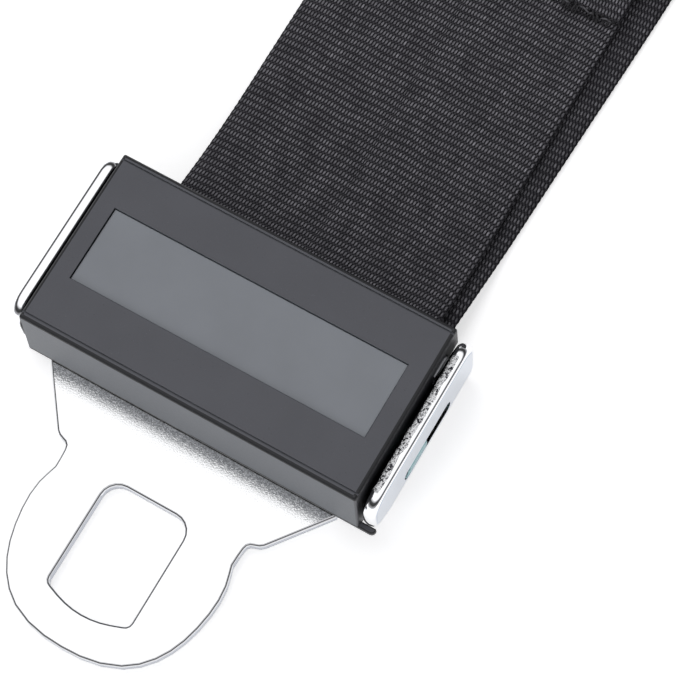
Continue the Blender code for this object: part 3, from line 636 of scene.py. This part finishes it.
def make_stage():
    """A pale paper floor; what the camera and mirrors see of it is brighter than what lights the part."""
    r = 3.0
    floor = add_object("floor", [(-r, -r, 0), (r, -r, 0), (r, r, 0), (-r, r, 0)], [(0, 1, 2, 3)], False)
    floor.location.z = -0.0001
    t = material_tree("pale_floor")
    rays = t.node("ShaderNodeLightPath").outputs
    seen = t.math("MAXIMUM", rays["Is Camera Ray"],
                  t.math("MAXIMUM", rays["Is Glossy Ray"], rays["Is Transmission Ray"]))
    paper = t.node("ShaderNodeBsdfDiffuse")
    paper.inputs["Color"].default_value = (0.80, 0.80, 0.81, 1)
    glow = t.node("ShaderNodeEmission")
    glow.inputs["Color"].default_value = (1, 1, 1, 1)
    # far from the lamps the paper glows more, so that it stays white to the horizon
    at = t.split(t.where())
    away = t.math("SQRT", t.plus(t.times(at[0], at[0]), t.times(at[1], at[1])))
    t.link(t.ramp(away, 0.4, 1.6, 0.57, 1.05), glow.inputs["Strength"])
    both = t.node("ShaderNodeAddShader")
    t.link(paper.outputs[0], both.inputs[0])
    t.link(glow.outputs[0], both.inputs[1])
    pick = t.node("ShaderNodeMixShader")
    for source, socket in zip((seen, paper.outputs[0], both.outputs[0]), pick.inputs):
        t.link(source, socket)
    t.link(pick.outputs[0], t.out.inputs["Surface"])
    floor.data.materials.append(t.owner)


def make_world():
    """A white backdrop for the camera, and a banded room for the steel to mirror."""
    world = bpy.data.worlds.new("studio")
    bpy.context.scene.world = world
    t = Tree(world, "ShaderNodeOutputWorld")
    rays = t.node("ShaderNodeLightPath").outputs
    height = t.split(t.node("ShaderNodeTexCoord").outputs["Generated"])[2]
    ramp = t.node("ShaderNodeValToRGB")
    t.link(height, ramp.inputs[0])
    stops = ramp.color_ramp.elements
    stops[0].position, stops[0].color = 0.0, (0.60, 0.61, 0.65, 1)
    stops[1].position, stops[1].color = 1.0, (1.0, 1.0, 1.0, 1)
    for position, value in ((0.10, 0.35), (0.28, 0.03), (0.48, 0.06), (0.66, 0.98)):
        stop = stops.new(position)
        stop.color = (value, value, value * 1.03, 1)
    room = t.node("ShaderNodeBackground")
    t.link(ramp.outputs[0], room.inputs[0])
    t.link(t.ramp(rays["Is Glossy Ray"], 0.0, 1.0, 0.36, 1.12), room.inputs[1])
    white = t.node("ShaderNodeBackground")
    white.inputs[0].default_value = (1, 1, 1, 1)
    pick = t.node("ShaderNodeMixShader")
    for source, socket in zip((rays["Is Camera Ray"], room.outputs[0], white.outputs[0]), pick.inputs):
        t.link(source, socket)
    t.link(pick.outputs[0], t.out.inputs["Surface"])


def lamp(name, spot, aim, size, power):
    data = bpy.data.lights.new(name, "AREA")
    data.shape = "DISK"
    data.size = size
    data.energy = power
    obj = bpy.data.objects.new(name, data)
    obj.location = spot
    obj.rotation_euler = (Vector(aim) - Vector(spot)).to_track_quat("-Z", "Y").to_euler()
    # the steel mirrors the room alone, so no lamp burns out what it shows
    obj.visible_glossy = False
    bpy.context.scene.collection.objects.link(obj)


def make_camera():
    """The photograph's camera, as fitted to the straight edges measured in it."""
    azimuth, elevation, roll = (math.radians(v) for v in (38.61, 70.49, -8.88))
    aim, distance = Vector((12.16, 20.86, 8.0)), 361.3
    fit_scale, fit_drop = 1.065, Vector((0, 0, 1.3275))
    focal_pixels, picture_pixels, sensor = 2528.5, 680.0, 36.0
    back = Vector((math.sin(azimuth) * math.cos(elevation), -math.cos(azimuth) * math.cos(elevation),
                   math.sin(elevation)))
    right = Vector((math.cos(azimuth), math.sin(azimuth), 0))
    up = back.cross(right)
    rolled_right = right * math.cos(roll) + up * math.sin(roll)
    rolled_up = up * math.cos(roll) - right * math.sin(roll)
    eye = (aim + back * distance) * fit_scale - fit_drop
    data = bpy.data.cameras.new("camera")
    data.sensor_width = sensor
    data.lens = focal_pixels * sensor / picture_pixels
    data.clip_start = 0.01
    data.clip_end = 20
    obj = bpy.data.objects.new("camera", data)
    turn = Matrix((rolled_right, rolled_up, back)).transposed().to_4x4()
    obj.matrix_world = Matrix.Translation(place(*eye)) @ turn
    bpy.context.scene.collection.objects.link(obj)
    bpy.context.scene.camera = obj


make_camera()
make_stage()
make_world()
lamp("key", (-0.35, 0.25, 0.9), (0, 0, 0), 0.7, 3.3)
lamp("front", (-0.15, -0.9, 0.34), (0, 0, 0), 0.5, 2.8)
lamp("fill", (0.5, -0.5, 0.8), (0, -0.05, 0), 0.9, 1.6)

dress("tongue_plate", chrome())
soften_roundings("tongue_plate", plate_face)
dress("cover", moulded("cover_plastic_grain", (0.091, 0.093, 0.106), 0.44, fleck=0.4, edges=True))
dress("label_insert", moulded("label_plain", (0.226, 0.240, 0.266), 0.20, grain=0.000004, scale=1500))
dress("adjuster_bar", brushed("zinc_plating", (0.33, 0.50, 0.52), 0.30, (1, 12, 12)))
dress("cross_bar", brushed("cross_bar_steel", (0.42, 0.43, 0.45), 0.32, (1, 10, 10)))
shell = moulded("buckle_plastic_grain", (0.022, 0.022, 0.025), 0.42, fleck=0.2)
dress("buckle_lower_shell", shell)
dress("buckle_upper_shell", shell)
for name in ("buckle_frame", "anchor_pin", "latch", "lock_slider", "rivet_left", "rivet_right"):
    dress(name, brushed(name + "_steel", (0.52, 0.52, 0.54), 0.28, (8, 1, 8)))
dress("release_button", moulded("button_red", (0.42, 0.018, 0.014), 0.33, grain=0.00001))
dress("ejector", moulded("ejector_natural", (0.6, 0.6, 0.57), 0.4))
for name in ("button_spring_left", "button_spring_right", "ejector_spring", "latch_spring"):
    dress(name, brushed(name + "_wire", (0.56, 0.56, 0.57), 0.22))
make_webbing()
make_stitching()
make_fray()

bpy.context.scene.view_settings.view_transform = "Standard"
